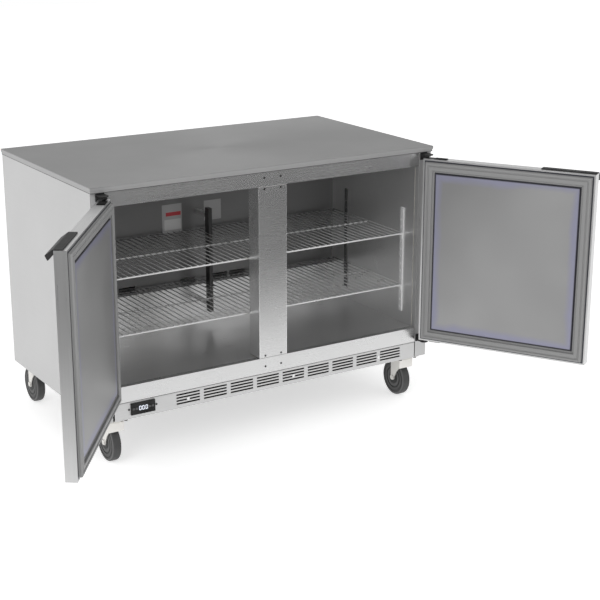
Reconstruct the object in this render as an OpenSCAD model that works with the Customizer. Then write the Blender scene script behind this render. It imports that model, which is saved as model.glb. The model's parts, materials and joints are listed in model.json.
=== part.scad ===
// Two-door under counter fridge on four swivel casters, doors standing open.
// Frame: X to the right, Y to the back, Z up, origin on the floor under the middle of the cabinet.

/* [Cabinet] */
// Width of the worktop
top_w = 1219; // [1000:1:1470]
// Depth of the worktop
top_d = 698; // [620:1:840]
// Height of the worktop above the floor
height = 876; // [780:1:1060]
// Height of the casters under the cabinet
caster_h = 152; // [130:1:180]
// Width of the centre mullion
mullion_w = 101; // [80:1:125]
// Height of the louvered panel at the bottom
louver_h = 54; // [46:1:64]
// Height of the sill above the louvered panel
sill_h = 51.5; // [44:0.5:62]
// Drop of the front header below the worktop surface
header_drop = 63.5; // [56:0.5:76]

/* [Doors] */
// Thickness of a door without its gasket
door_t = 34; // [30:1:41]
// Gap between the two closed doors
door_gap = 17; // [10:1:24]
// Angle the left door stands open
open_left = 125.7; // [100:0.1:129]
// Angle the right door stands open
open_right = 121; // [100:1:129]
// Length of a door handle
handle_len = 178; // [130:1:220]

/* [Inside] */
// Height of the lower shelves above the compartment floor
shelf_low = 134; // [110:1:150]
// Height of the upper shelves above the compartment floor
shelf_high = 314; // [255:1:380]
// Distance between shelf wires
wire_pitch = 21; // [16:0.5:27]
// Depth of the cold compartment
room_d = 501; // [400:1:520]

/* [Casters] */
// Diameter of a caster wheel
wheel_d = 122; // [102:1:127]
// Width of a caster wheel
wheel_w = 28; // [24:1:34]

/* [Details] */
// Smoothness of round parts
facets = 48; // [32:8:96]

/* [Hidden] */

// Clearances
seat = 0.2;         // between pieces that are fixed to each other
seam = 1;           // visible seam between front panels
air = 0.6;          // between pieces that move past each other
run_fit = 0.05;     // radial play of a pin in its bush
gasket_gap = 0.4;   // between a closed door's gasket and the frame

// Sheet metal
sheet = 1.2;
top_t = 10;
top_skirt = 8;
top_over_side = 3;
top_over_front = 8.5;

// Cabinet shell
half_w = top_w / 2 - top_over_side;
front_y = -top_d / 2 + top_over_front;
back_y = top_d / 2 - 2;
under_top = height - top_t - top_skirt;
base_z = caster_h;
sill_low = base_z + louver_h;
sill_top = sill_low + sill_h;
head_z = height - header_drop;
stile_w = 46.5;
open_half = half_w - stile_w;
flange = 20;
mullion_d = 60;

// Cold compartment
liner_t = 1;
room_half = open_half - seat - liner_t;
floor_z = sill_top - sheet - 2 * seat;
ceil_z = head_z + sheet + 2 * seat;
room_back = -top_d / 2 + room_d + 10;
foam_wall = 50;
chamber_back = back_y - sheet - foam_wall;
step_z = floor_z + 115;
bay_top = step_z - foam_wall;
bay_front = room_back + foam_wall + 2;
slot_h = 5;

// Doors, drawn closed for the right-hand door
gasket_h = 12;
door_x0 = door_gap / 2;
hinge_margin = 28;
door_x1 = half_w - hinge_margin;
door_w = door_x1 - door_x0;
door_in = front_y - gasket_h;
door_out = door_in - door_t;
door_z0 = sill_low + 17;
door_z1 = under_top - 15;
door_h = door_z1 - door_z0;
skin_t = 1;
rim_w = 9;
gasket_in = 10.5;
gasket_w = 30;
plateau_in = 45;
plateau_h = 6.5;
pivot_in = 7;
pivot_back = 15;
pivot_x = door_x1 - pivot_in;
pivot_y = door_in - pivot_back;
pin_r = 3.5;
bush_r = 5.6;
pin_len = 14;
bush_len = 19;
insert_l = 76;
insert_near = 36;
insert_w = 24;
insert_t = 2;
insert_neck = 10;
bracket_t = 3;
bracket_x0 = half_w - 43.5;
bracket_w = 27;
bracket_h = 25;
arm_top = under_top - 6;
arm_low = door_z0 - 10;
arm_end = pivot_y - 3.5;
collar_r = 7;

// Handle section: outward distance from the door face, height over the door top
handle_t = 3;
handle_back = 23;
lip_out = 21.5;
lip_drop = 26;

// Screws
head_t = 0.9;
head_r = 3.4;
panel_head_r = 5;
frame_screw_x = mullion_w / 2 - 21.5;
frame_screw_z = [under_top - 18.5, head_z - 8, sill_top + 8, sill_top - 28];

// Louvered panel
louver_groups = 9;
louver_rows = 4;
louver_gap = 14.2;
louver_pitch = 9.7;
louver_x0 = -open_half + 96 + 114.5;
louver_x1 = open_half - 63;
louver_slot = 5.2;
louver_proud = 2.5;

// Controller
ctl_x = -open_half + 96;
ctl_w = 81;
ctl_h = 38;
ctl_t = 4;
ctl_r = 1.6;
ctl_case_w = 68;
ctl_case_h = 28;
ctl_case_d = 58;
ctl_z = base_z + louver_h / 2 + 3.5;
key_w = 8;
key_h = 6.5;
key_t = 3;
key_travel = 0.6;

// Shelves
rod_r = 2.6;
wire_r = 1.6;
shelf_front = front_y + 72;
shelf_back = room_back - 14;
shelf_side = 9;
post_w = 12.6;
post_t = 26;
pilaster_w = 15;
pilaster_t = 4;
pilaster_z0 = floor_z + 42;
pilaster_z1 = ceil_z - 155;
clip_front = shelf_front + 10;
clip_back = room_back - 86;
cover_y = room_back - 1;

// Casters
plate_s = 80;
plate_t = 4;
race_r = 29;
race_h = 9;
king_r = 6;
trail = 30;
fork_half = 18;
hood_half = 27;
fork_t = 3;
fork_top = base_z - seat - plate_t - race_h - air;
wheel_r = min(wheel_d, caster_h - 29) / 2;
fork_front = 23;
hood_h = 29;
hood_back = 14;
axle_r = 5;
axle_z = wheel_r;
hub_half = fork_half - fork_t - air;
plate_in = 63;
plate_x = half_w - plate_in;
plate_y0 = front_y + 46.5;
plate_y1 = back_y - 41;

// Cooling unit
bay_floor = base_z + sheet + seat;
comp_r = min(52, (back_y - bay_front) / 2 - 8);
comp_h = min(118, bay_top - bay_floor - 26);
comp_x = -open_half + 140;
unit_y = (bay_front + back_y) / 2;
coil_w = 300;
coil_h = min(124, bay_top - bay_floor - 14);
coil_d = 56;
coil_x = 60;
coil_y = bay_front + 5 + coil_d / 2;
fan_r = coil_h / 2 - 8;
fin_t = 0.8;
tube_r = 4;
tube_rows = 4;
evap_w = 600;
evap_h = 160;
evap_d = 76;
evap_x = 120;
evap_y = (room_back + chamber_back) / 2;
evap_z = step_z + 60;
evap_fan_x = -open_half + 150;
evap_fan_r = 52;
line_r = 4;
bend_r = 7;
riser_y = coil_y - coil_d / 4;
function riser_x(k) = comp_x + comp_r + 23 + 25 * k;

// ---- shared shapes ----

module slab(x0, x1, y0, y1, z0, z1) {
  translate([x0, y0, z0])
    cube([x1 - x0, y1 - y0, z1 - z0]);
}

module rounded_plate(w, h, t, r) {
  // flat plate in XZ, thickness along +Y, centred on X and Z
  rotate([90, 0, 0])
    translate([0, 0, -t])
      linear_extrude(t)
        union() {
          square([w - 2 * r, h], center = true);
          square([w, h - 2 * r], center = true);
          for (sx = [-1, 1], sz = [-1, 1])
            translate([sx * (w / 2 - r), sz * (h / 2 - r)])
              circle(r, $fn = 32);
        }
}

module rod_x(x0, x1, y, z, r) {
  translate([x0, y, z])
    rotate([0, 90, 0])
      cylinder(h = x1 - x0, r = r, $fn = 24);
}

module rod_y(x, y0, y1, z, r) {
  translate([x, y0, z])
    rotate([-90, 0, 0])
      cylinder(h = y1 - y0, r = r, $fn = 24);
}

module rod_z(x, y, z0, z1, r) {
  translate([x, y, z0])
    cylinder(h = z1 - z0, r = r, $fn = facets);
}

module both_sides() {
  children();
  mirror([1, 0, 0])
    children();
}

module screw_head(x, y, z, r = head_r) {
  // low round head with its face to the front, front face at y - head_t
  translate([x, y, z])
    rotate([90, 0, 0])
      cylinder(h = head_t, r = r, $fn = 24);
}

module frame_screw_holes() {
  // holes that take the flush screws of the header, mullion and sill
  for (sx = [-1, 1], z = frame_screw_z)
    translate([sx * frame_screw_x, front_y + 2 * sheet, z])
      rotate([90, 0, 0])
        cylinder(h = 4 * sheet, r = head_r + seat, $fn = 24);
}

// ---- cabinet shell ----

module worktop() {
  color([0.62, 0.62, 0.63]) {
    slab(-top_w / 2, top_w / 2, -top_d / 2, top_d / 2, height - top_t, height);
    slab(-half_w - 1, half_w + 1, -top_d / 2 + 2, top_d / 2 - 1, under_top, height - top_t);
  }
}

module side_panel_right_shape() {
  z1 = under_top - seat;
  slab(half_w - sheet, half_w, front_y, back_y, base_z, z1);
  slab(open_half, half_w, front_y, front_y + sheet, base_z, z1);
  slab(open_half, open_half + sheet, front_y, front_y + flange, sill_low, z1);
  slab(half_w - flange, half_w, back_y - sheet, back_y, base_z, z1);
}

module side_panel_left() {
  color([0.78, 0.79, 0.8])
    mirror([1, 0, 0])
      side_panel_right_shape();
}

module side_panel_right() {
  color([0.78, 0.79, 0.8])
    side_panel_right_shape();
}

module back_panel() {
  color([0.7, 0.71, 0.72])
    slab(-half_w + flange + seat, half_w - flange - seat, back_y - sheet, back_y,
      bay_top + seat, under_top - seat);
}

module rear_grille() {
  z0 = base_z + sheet + seat;
  z1 = bay_top - seat;
  rows = floor((z1 - z0 - 50) / 12);
  color([0.55, 0.56, 0.57])
    difference() {
      slab(-half_w + flange + seat, half_w - flange - seat, back_y - sheet, back_y, z0, z1);
      for (g = [-4 : 4], k = [0 : rows])
        translate([g * 112 - 45, back_y - 2 * sheet, z0 + 25 + k * 12])
          cube([90, 3 * sheet, slot_h]);
    }
}

module inner_liner() {
  y0 = front_y + sheet + seat;
  gap = seat / 2;
  color([0.5, 0.51, 0.52]) {
    both_sides()
      slab(room_half, room_half + liner_t, front_y + flange + seat, chamber_back,
        floor_z - liner_t, ceil_z + liner_t);
    slab(-room_half + gap, room_half - gap, front_y + flange + seat, room_back - gap,
      floor_z - liner_t, floor_z);
    slab(-room_half + gap, room_half - gap, y0, chamber_back, ceil_z, ceil_z + liner_t);
    slab(-room_half + gap, room_half - gap, room_back, room_back + liner_t,
      floor_z - liner_t, step_z - liner_t - gap);
    difference() {
      slab(-room_half + gap, room_half - gap, room_back, chamber_back - liner_t - gap,
        step_z - liner_t, step_z);
      line_holes(line_r + 1);
    }
    slab(-room_half + gap, room_half - gap, chamber_back - liner_t, chamber_back,
      step_z - liner_t, ceil_z - gap);
  }
}

module line_holes(r) {
  for (k = [0, 1])
    rod_z(riser_x(k), riser_y, step_z - 3 * foam_wall, step_z + foam_wall, r);
}

module foam_insulation() {
  wall0 = room_half + liner_t + seat;
  wall1 = half_w - sheet - seat;
  fy = front_y + flange + 2 * seat;
  color([0.86, 0.8, 0.62]) {
    both_sides() {
      slab(wall0, wall1, fy, bay_front - seat, sill_low + seat, under_top - 3 * seat);
      slab(wall0, wall1, bay_front, back_y - sheet - seat, bay_top, under_top - 3 * seat);
    }
    slab(-room_half, room_half, fy, back_y - sheet - seat,
      ceil_z + liner_t + seat, under_top - 3 * seat);
    slab(-room_half, room_half, fy, bay_front - 3 * seat, sill_low + seat,
      floor_z - liner_t - seat);
    slab(-room_half, room_half, room_back + liner_t + seat, bay_front - 3 * seat, floor_z,
      bay_top - seat);
    difference() {
      slab(-room_half, room_half, room_back + liner_t + seat, back_y - sheet - seat,
        bay_top, step_z - liner_t - seat);
      line_holes(line_r + 1);
    }
    slab(-room_half, room_half, chamber_back + seat, back_y - sheet - seat,
      step_z, ceil_z + liner_t);
    slab(-mullion_w / 2 + sheet + seat, mullion_w / 2 - sheet - seat, front_y + sheet + seat,
      front_y + mullion_d - sheet, sill_top + sheet, head_z - sheet);
  }
}

module front_header() {
  x1 = open_half - seam;
  color([0.6, 0.61, 0.62]) {
    difference() {
      slab(-x1, x1, front_y, front_y + sheet, head_z, under_top - seat);
      frame_screw_holes();
    }
    slab(-x1, x1, front_y, front_y + flange, head_z, head_z + sheet);
    slab(-x1, x1, front_y, front_y + flange - 2 * seat, under_top - seat - sheet, under_top - seat);
  }
}

module front_sill() {
  x1 = open_half - seam;
  color([0.8, 0.81, 0.82]) {
    difference() {
      slab(-x1, x1, front_y, front_y + sheet, sill_low + seat, sill_top);
      frame_screw_holes();
    }
    slab(-x1, x1, front_y, front_y + flange, sill_top - sheet, sill_top);
  }
}

module center_mullion() {
  x1 = mullion_w / 2;
  color([0.72, 0.73, 0.74])
    difference() {
      slab(-x1, x1, front_y, front_y + mullion_d, sill_top + seat, head_z - seat);
      slab(-x1 + sheet, x1 - sheet, front_y + sheet, front_y + 2 * mullion_d,
        sill_top - sheet, head_z + sheet);
      frame_screw_holes();
    }
}

module frame_screws() {
  color([0.45, 0.46, 0.47]) {
    for (sx = [-1, 1], z = frame_screw_z)
      screw_head(sx * frame_screw_x, front_y + seat / 2 + head_t, z);
    for (x = [louver_mid(0), louver_mid(4), (louver_mid(7) + louver_mid(8)) / 2])
      screw_head(x, front_y - louver_proud - seat, base_z + louver_h / 2, panel_head_r);
    for (sx = [-1, 1])
      screw_head(ctl_x + sx * (ctl_w / 2 + 5.5), front_y - louver_proud - seat, ctl_z);
  }
}

louver_w = (louver_x1 - louver_x0 - (louver_groups - 1) * louver_gap) / louver_groups;
function louver_mid(k) = louver_x0 + louver_w / 2 + k * (louver_w + louver_gap);

module louver_panel() {
  y0 = front_y - louver_proud;
  x1 = open_half - 3 * seam;
  z_top = sill_low - 3 * seat;
  z_mid = base_z + louver_h / 2 + 2.8;
  color([0.82, 0.83, 0.84])
    difference() {
      union() {
        slab(-x1, x1, y0, y0 + sheet, base_z, z_top);
        slab(-x1, x1, y0, y0 + 12, base_z, base_z + sheet);
        slab(-x1, x1, y0, y0 + louver_proud - seat, z_top - sheet, z_top);
      }
      for (k = [0 : louver_groups - 1], row = [0 : louver_rows - 1])
        translate([louver_mid(k) - louver_w / 2, y0 - sheet,
            z_mid + (row - (louver_rows - 1) / 2) * louver_pitch - louver_slot / 2])
          cube([louver_w, 3 * sheet, louver_slot]);
      slab(ctl_x - ctl_case_w / 2 - seat, ctl_x + ctl_case_w / 2 + seat, y0 - sheet,
        y0 + 2 * sheet, ctl_z - ctl_case_h / 2 - seat, ctl_z + ctl_case_h / 2 + seat);
    }
}

module base_pan() {
  color([0.6, 0.61, 0.62])
    slab(-half_w + sheet + seat, half_w - sheet - seat, front_y + 12,
      back_y - sheet - seat, base_z, base_z + sheet);
}

// ---- controller ----

function key_x(k) = ctl_x + (k < 2 ? -1 : 1) * (k == 0 || k == 3 ? 32 : 21.5);
ctl_y = front_y - louver_proud - seat - ctl_t;

module controller_body() {
  pocket_w = key_w + 2 * air;
  pocket_h = key_h + 2 * air;
  color([0.06, 0.06, 0.07])
    difference() {
      union() {
        translate([ctl_x, ctl_y, ctl_z])
          rounded_plate(ctl_w, ctl_h, ctl_t, ctl_r);
        slab(ctl_x - ctl_case_w / 2, ctl_x + ctl_case_w / 2, ctl_y + ctl_t - 0.5,
          ctl_y + ctl_t + ctl_case_d, ctl_z - ctl_case_h / 2, ctl_z + ctl_case_h / 2);
      }
      for (k = [0 : 3])
        slab(key_x(k) - pocket_w / 2, key_x(k) + pocket_w / 2, ctl_y - 1, ctl_y + key_t + 1,
          ctl_z - pocket_h / 2, ctl_z + pocket_h / 2);
      slab(ctl_x - 15.5, ctl_x + 15.5, ctl_y - 1, ctl_y + 2, ctl_z - 9, ctl_z + 9);
    }
}

module display_window() {
  color([0.1, 0.12, 0.16])
    slab(ctl_x - 15.5 + seat, ctl_x + 15.5 - seat, ctl_y + 0.2, ctl_y + 2 - seat,
      ctl_z - 9 + seat, ctl_z + 9 - seat);
}

module key_shape(k) {
  color([0.3, 0.31, 0.33])
    translate([key_x(k), ctl_y - 0.8, ctl_z])
      rounded_plate(key_w, key_h, key_t, 1.5);
}

module key_1() key_shape(0);
module key_2() key_shape(1);
module key_3() key_shape(2);
module key_4() key_shape(3);

// ---- casters ----

module at_casters() {
  for (sx = [-1, 1], y = [plate_y0, plate_y1])
    translate([sx * plate_x, y, 0])
      children();
}

module caster_plates() {
  z1 = base_z - seat;
  bolt = plate_s / 2 - 10;
  color([0.75, 0.75, 0.73])
    at_casters()
      difference() {
        union() {
          slab(-plate_s / 2, plate_s / 2, -plate_s / 2, plate_s / 2, z1 - plate_t, z1);
          rod_z(0, 0, z1 - plate_t - race_h, z1 - plate_t + 1, race_r);
          rod_z(0, 0, fork_top - fork_t - 5, z1 - plate_t, king_r);
          rod_z(0, 0, fork_top - fork_t - air - 5, fork_top - fork_t - air, king_r + 4);
        }
        for (a = [-1, 1], b = [-1, 1])
          rod_z(a * bolt, b * bolt, z1 - 2 * plate_t, z1 + 1, 4.2);
      }
}

module caster_bolts() {
  bolt = plate_s / 2 - 10;
  z1 = base_z - seat;
  color([0.7, 0.7, 0.68])
    at_casters()
      for (a = [-1, 1], b = [-1, 1]) {
        rod_z(a * bolt, b * bolt, z1 - plate_t - seat - 4.5, z1 - plate_t - seat, 6.5);
        rod_z(a * bolt, b * bolt, z1 - plate_t - seat - 1, z1 - seat, 4);
      }
}

module fork_leg(x0) {
  // side leg: wide at the crown, round at the axle, front edge swept back
  translate([x0, 0, 0])
    rotate([90, 0, 90])
      linear_extrude(fork_t)
        union() {
          polygon([
            [-fork_front + 1, fork_top], [trail + 9, fork_top], [trail + 9, axle_z],
            [trail - 9, axle_z + 2], [8, axle_z + 26], [-8, fork_top - hood_h - 5],
            [-fork_front + 1, fork_top - hood_h]
          ]);
          translate([trail, axle_z])
            circle(9.5, $fn = facets);
        }
}

module fork_shape() {
  y0 = -fork_front;
  color([0.9, 0.89, 0.85]) {
    difference() {
      union() {
        fork_leg(-fork_half);
        fork_leg(fork_half - fork_t);
        slab(-hood_half, hood_half, y0, trail + 9, fork_top - fork_t, fork_top);
        slab(-hood_half, hood_half, y0, y0 + fork_t, fork_top - hood_h, fork_top);
        for (x = [-hood_half, hood_half - fork_t])
          slab(x, x + fork_t, y0, y0 + hood_back, fork_top - hood_h, fork_top);
      }
      rod_z(0, 0, fork_top - 2 * fork_t, fork_top + 1, king_r + run_fit);
      rod_x(-fork_half - 1, fork_half + 1, trail, axle_z, axle_r + seat);
    }
    rod_x(-fork_half - 3, fork_half + 3, trail, axle_z, axle_r);
    difference() {
      for (x = [-fork_half - 3.2, fork_half + 0.2])
        rod_x(x, x + 3, trail, axle_z, 8);
      rod_x(-fork_half - 20, fork_half + 20, trail, axle_z, axle_r + seat);
    }
  }
}

module wheel_shape() {
  // tyre and core in one, turned about X, with shallow rings on both faces
  r = wheel_r;
  w = wheel_w / 2;
  color([0.28, 0.28, 0.29])
    translate([0, trail, axle_z])
      rotate([0, 90, 0])
        rotate_extrude($fn = 64)
          difference() {
            union() {
              translate([axle_r + run_fit, -hub_half])
                square([9, 2 * hub_half]);
              translate([axle_r + run_fit, -w])
                square([r - 5 - axle_r - run_fit, 2 * w]);
              translate([r / 2, -w + 5])
                square([r / 2, 2 * w - 10]);
              for (s = [-1, 1])
                translate([r - 5, s * (w - 5)])
                  circle(5, $fn = 32);
            }
            for (s = [-1, 1], q = [0.36, 0.58, 0.8])
              translate([q * r, s * w])
                square([3.2, 3.2], center = true);
          }
}

module fork_front_left() translate([-plate_x, plate_y0, 0]) fork_shape();
module fork_front_right() translate([plate_x, plate_y0, 0]) fork_shape();
module fork_rear_left() translate([-plate_x, plate_y1, 0]) fork_shape();
module fork_rear_right() translate([plate_x, plate_y1, 0]) fork_shape();
module wheel_front_left() translate([-plate_x, plate_y0, 0]) wheel_shape();
module wheel_front_right() translate([plate_x, plate_y0, 0]) wheel_shape();
module wheel_rear_left() translate([-plate_x, plate_y1, 0]) wheel_shape();
module wheel_rear_right() translate([plate_x, plate_y1, 0]) wheel_shape();

// ---- doors ----

module open_right_door() {
  translate([pivot_x, pivot_y, 0])
    rotate([0, 0, open_right])
      translate([-pivot_x, -pivot_y, 0])
        children();
}

module open_left_door() {
  mirror([1, 0, 0])
    translate([pivot_x, pivot_y, 0])
      rotate([0, 0, open_left])
        translate([-pivot_x, -pivot_y, 0])
          children();
}

module door_box(margin, y0, y1) {
  slab(door_x0 + margin, door_x1 - margin, y0, y1, door_z0 + margin, door_z1 - margin);
}

module door_skin() {
  color([0.74, 0.75, 0.76])
    difference() {
      door_box(0, door_out, door_in);
      door_box(skin_t, door_out + skin_t, door_in - skin_t);
      door_box(rim_w, door_in - 2 * skin_t, door_in + 1);
      rod_z(pivot_x, pivot_y, door_z0 - 1, door_z1 + 1, bush_r + seat);
    }
}

module door_foam() {
  m = skin_t + seat;
  color([0.86, 0.8, 0.62])
    difference() {
      union() {
        door_box(m, door_out + m, door_in - skin_t - seat - liner_t - seat);
        door_box(plateau_in + liner_t + seat, door_in - 4, door_in + plateau_h - liner_t - seat);
      }
      rod_z(pivot_x, pivot_y, door_z0 - 1, door_z0 + bush_len + 2, bush_r + seat + 1);
      rod_z(pivot_x, pivot_y, door_z1 - bush_len - 2, door_z1 + 1, bush_r + seat + 1);
      slab(pivot_x - bush_r, door_x1, pivot_y - bush_r, pivot_y + bush_r, door_z0,
        door_z0 + bush_len + 2);
      slab(pivot_x - bush_r, door_x1, pivot_y - bush_r, pivot_y + bush_r,
        door_z1 - bush_len - 2, door_z1);
    }
}

module door_liner() {
  y1 = door_in - skin_t - seat;
  color([0.66, 0.67, 0.69])
    difference() {
      union() {
        door_box(gasket_in - 6, y1 - liner_t, y1);
        door_box(plateau_in, y1 - liner_t, door_in + plateau_h);
      }
      door_box(plateau_in + liner_t, y1 - 2 * liner_t, door_in + plateau_h - liner_t);
      rod_z(pivot_x, pivot_y, door_z0 - 1, door_z1 + 1, bush_r + seat);
    }
}

module gasket_upright(len) {
  // bellows strip: foot on the liner, waist, magnet head; width along X, height along +Y
  g = gasket_h - gasket_gap;
  b = -skin_t;
  linear_extrude(len)
    polygon([
      [0, b], [gasket_w, b], [gasket_w, 2.4], [gasket_w - 7, 3.2], [gasket_w - 7, 5],
      [gasket_w - 2, 6.2], [gasket_w - 2, g - 1], [gasket_w - 3, g], [3, g], [2, g - 1],
      [2, 6.2], [7, 5], [7, 3.2], [0, 2.4]
    ]);
}

module gasket_level(len) {
  rotate([0, 90, 0])
    mirror([1, 0, 0])
      gasket_upright(len);
}

module door_gasket() {
  x0 = door_x0 + gasket_in;
  x1 = door_x1 - gasket_in;
  z0 = door_z0 + gasket_in;
  z1 = door_z1 - gasket_in;
  inner = x1 - x0 - 2 * gasket_w - 2 * seat;
  color([0.62, 0.63, 0.64]) {
    translate([x0, door_in, z0])
      gasket_upright(z1 - z0);
    translate([x1 - gasket_w, door_in, z0])
      gasket_upright(z1 - z0);
    translate([x0 + gasket_w + seat, door_in, z0])
      gasket_level(inner);
    translate([x0 + gasket_w + seat, door_in, z1 - gasket_w])
      gasket_level(inner);
  }
}

module handle_shape() {
  x0 = door_x0;
  x1 = door_x0 + handle_len;
  z = door_z1 + seat;
  color([0.16, 0.16, 0.17]) {
    translate([x0, door_out, z])
      rotate([90, 0, 90])
        linear_extrude(x1 - x0)
          polygon([
            [handle_back, 0], [handle_back, handle_t], [-1, handle_t],
            [-lip_out, -lip_drop / 2 + 1], [-lip_out - 0.5, -lip_drop / 2 - 1],
            [-lip_out + 5.5, -lip_drop], [-lip_out + 9, -lip_drop + 1.5],
            [-lip_out + 4.5, -lip_drop / 2 - 1.5], [-0.5, -1.6], [-0.5, 0]
          ]);
    for (x = [x0, x1 - handle_t])
      translate([x, door_out, z])
        rotate([90, 0, 90])
          linear_extrude(handle_t)
            polygon([
              [-0.5, -1.8], [-lip_out + 1, -lip_drop / 2 + 1], [-lip_out, -lip_drop / 2 - 1],
              [-lip_out + 6, -lip_drop + 0.5], [-lip_out + 9, -lip_drop + 1.5], [-0.5, -9]
            ]);
  }
}

module insert_plate(z0, z1, z_neck) {
  // low block let into the door edge, joined to the bush by a flat neck
  y0 = pivot_y - insert_w / 2 + 1;
  slab(door_x1 - insert_l, door_x1 - insert_near, y0, y0 + insert_w, z0, z1);
  slab(door_x1 - insert_near - 2, pivot_x, pivot_y - insert_neck / 2, pivot_y + insert_neck / 2,
    z_neck, z_neck + 0.8);
}

module hinge_insert() {
  up = door_z1 + seat;
  dn = door_z0 - seat;
  color([0.08, 0.08, 0.09])
    difference() {
      union() {
        insert_plate(up, up + insert_t, up);
        rod_z(pivot_x, pivot_y, door_z1 - bush_len, up + 0.8, bush_r);
        insert_plate(dn - insert_t, dn, dn - 0.8);
        rod_z(pivot_x, pivot_y, dn - 0.8, door_z0 + bush_len, bush_r);
      }
      rod_z(pivot_x, pivot_y, door_z1 - bush_len + 1, door_z1 + 10, pin_r + run_fit);
      rod_z(pivot_x, pivot_y, door_z0 - 10, door_z0 + bush_len - 1, pin_r + run_fit);
    }
}

module hinge_arm(z0) {
  // flat arm from the stile to a round end just past the pivot
  end_r = bracket_w / 2;
  translate([bracket_x0, 0, z0])
    linear_extrude(bracket_t)
      union() {
        translate([0, arm_end])
          square([bracket_w, front_y - seat - arm_end]);
        translate([end_r, arm_end])
          circle(end_r, $fn = facets);
      }
}

module hinge_brackets() {
  x0 = bracket_x0;
  y1 = front_y - seat;
  x1 = x0 + bracket_w;
  play = 1 + air;
  color([0.12, 0.12, 0.13]) {
    hinge_arm(arm_top);
    slab(x0, x1, y1 - bracket_t, y1, under_top - seat - bracket_h, under_top - seat);
    rod_z(pivot_x, pivot_y, door_z1 - pin_len, arm_top + 1, pin_r);
    rod_z(pivot_x, pivot_y, door_z1 + play, arm_top + 1, collar_r);
    hinge_arm(arm_low);
    slab(x0, x1, y1 - bracket_t, y1, arm_low - 5, arm_low - 5 + bracket_h);
    rod_z(pivot_x, pivot_y, arm_low + 1, door_z0 + pin_len, pin_r);
    rod_z(pivot_x, pivot_y, arm_low + 1, door_z0 - play, collar_r);
  }
}

module door_left_skin() open_left_door() door_skin();
module door_left_foam() open_left_door() door_foam();
module door_left_liner() open_left_door() door_liner();
module door_left_gasket() open_left_door() door_gasket();
module handle_left() open_left_door() handle_shape();
module hinge_insert_left() open_left_door() hinge_insert();
module door_right_skin() open_right_door() door_skin();
module door_right_foam() open_right_door() door_foam();
module door_right_liner() open_right_door() door_liner();
module door_right_gasket() open_right_door() door_gasket();
module handle_right() open_right_door() handle_shape();
module hinge_insert_right() open_right_door() hinge_insert();
module hinge_brackets_left() mirror([1, 0, 0]) hinge_brackets();
module hinge_brackets_right() hinge_brackets();

// ---- shelves and their supports ----

module shelf_shape() {
  // welded wire shelf for the right-hand side, border rods at height 0
  x0 = shelf_side;
  x1 = room_half - shelf_side;
  count = floor((x1 - x0) / wire_pitch);
  pitch = (x1 - x0) / count;
  lift = rod_r + wire_r - 0.7;
  color([0.75, 0.76, 0.77]) {
    for (y = [shelf_front + rod_r, shelf_back - rod_r, (shelf_front + shelf_back) / 2])
      rod_x(x0 - rod_r, x1 + rod_r, y, 0, rod_r);
    for (k = [0 : count])
      rod_y(x0 + k * pitch, shelf_front, shelf_back, lift, wire_r);
  }
}

module shelf_right_lower() translate([0, 0, floor_z + shelf_low]) shelf_shape();
module shelf_right_upper() translate([0, 0, floor_z + shelf_high]) shelf_shape();
module shelf_left_lower() mirror([1, 0, 0]) shelf_right_lower();
module shelf_left_upper() mirror([1, 0, 0]) shelf_right_upper();

module clip_side(y) {
  // angle clip hooked on a wall pilaster, tab under the shelf
  x1 = room_half - pilaster_t - 2 * seat;
  z = -rod_r - seat;
  slab(x1 - 14, x1, y - 6, y + 6, z - 2, z);
  slab(x1 - 2, x1, y - 6, y + 6, z - 16, z);
}

module clip_mid(y) {
  x0 = post_w / 2 + seat;
  z = -rod_r - seat;
  slab(x0, x0 + 14, y - 6, y + 6, z - 2, z);
  slab(x0, x0 + 2, y - 6, y + 6, z - 16, z);
}

module shelf_clips() {
  color([0.8, 0.8, 0.8])
    both_sides()
      for (z = [shelf_low, shelf_high], y = [clip_front, clip_back])
        translate([0, 0, floor_z + z]) {
          clip_side(y);
          clip_mid(y);
        }
}

module slotted_strip(w, t, z0, z1) {
  // strip in the YZ plane, thickness along X from 0, slots all the way up
  pitch = 25.4;
  n = floor((z1 - z0 - 12) / pitch);
  difference() {
    slab(0, t, -w / 2, w / 2, z0, z1);
    for (k = [0 : n - 1])
      slab(-1, t + 1, -3.5, 3.5, z0 + 12 + k * pitch, z0 + 17 + k * pitch);
  }
}

module pilasters() {
  x1 = room_half - seat - pilaster_t;
  color([0.8, 0.81, 0.82]) {
    both_sides()
      for (y = [clip_front, clip_back])
        translate([x1, y, 0])
          slotted_strip(pilaster_w, pilaster_t, pilaster_z0, pilaster_z1);
    slab(-post_w / 2, post_w / 2, front_y + mullion_d + seat, clip_front + post_t / 2,
      pilaster_z0, pilaster_z1);
  }
}

module center_post() {
  arm = 12;
  color([0.78, 0.79, 0.8]) {
    slab(-post_w / 2, post_w / 2, clip_back - post_t / 2, clip_back + post_t / 2,
      pilaster_z0, pilaster_z1);
    for (z = [pilaster_z0 + 20, (pilaster_z0 + pilaster_z1) / 2 - 30, pilaster_z1 - 20 - arm])
      slab(-post_w / 2, post_w / 2, clip_back, (z < step_z ? room_back : cover_y) - seat,
        z, z + arm);
  }
}

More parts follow.
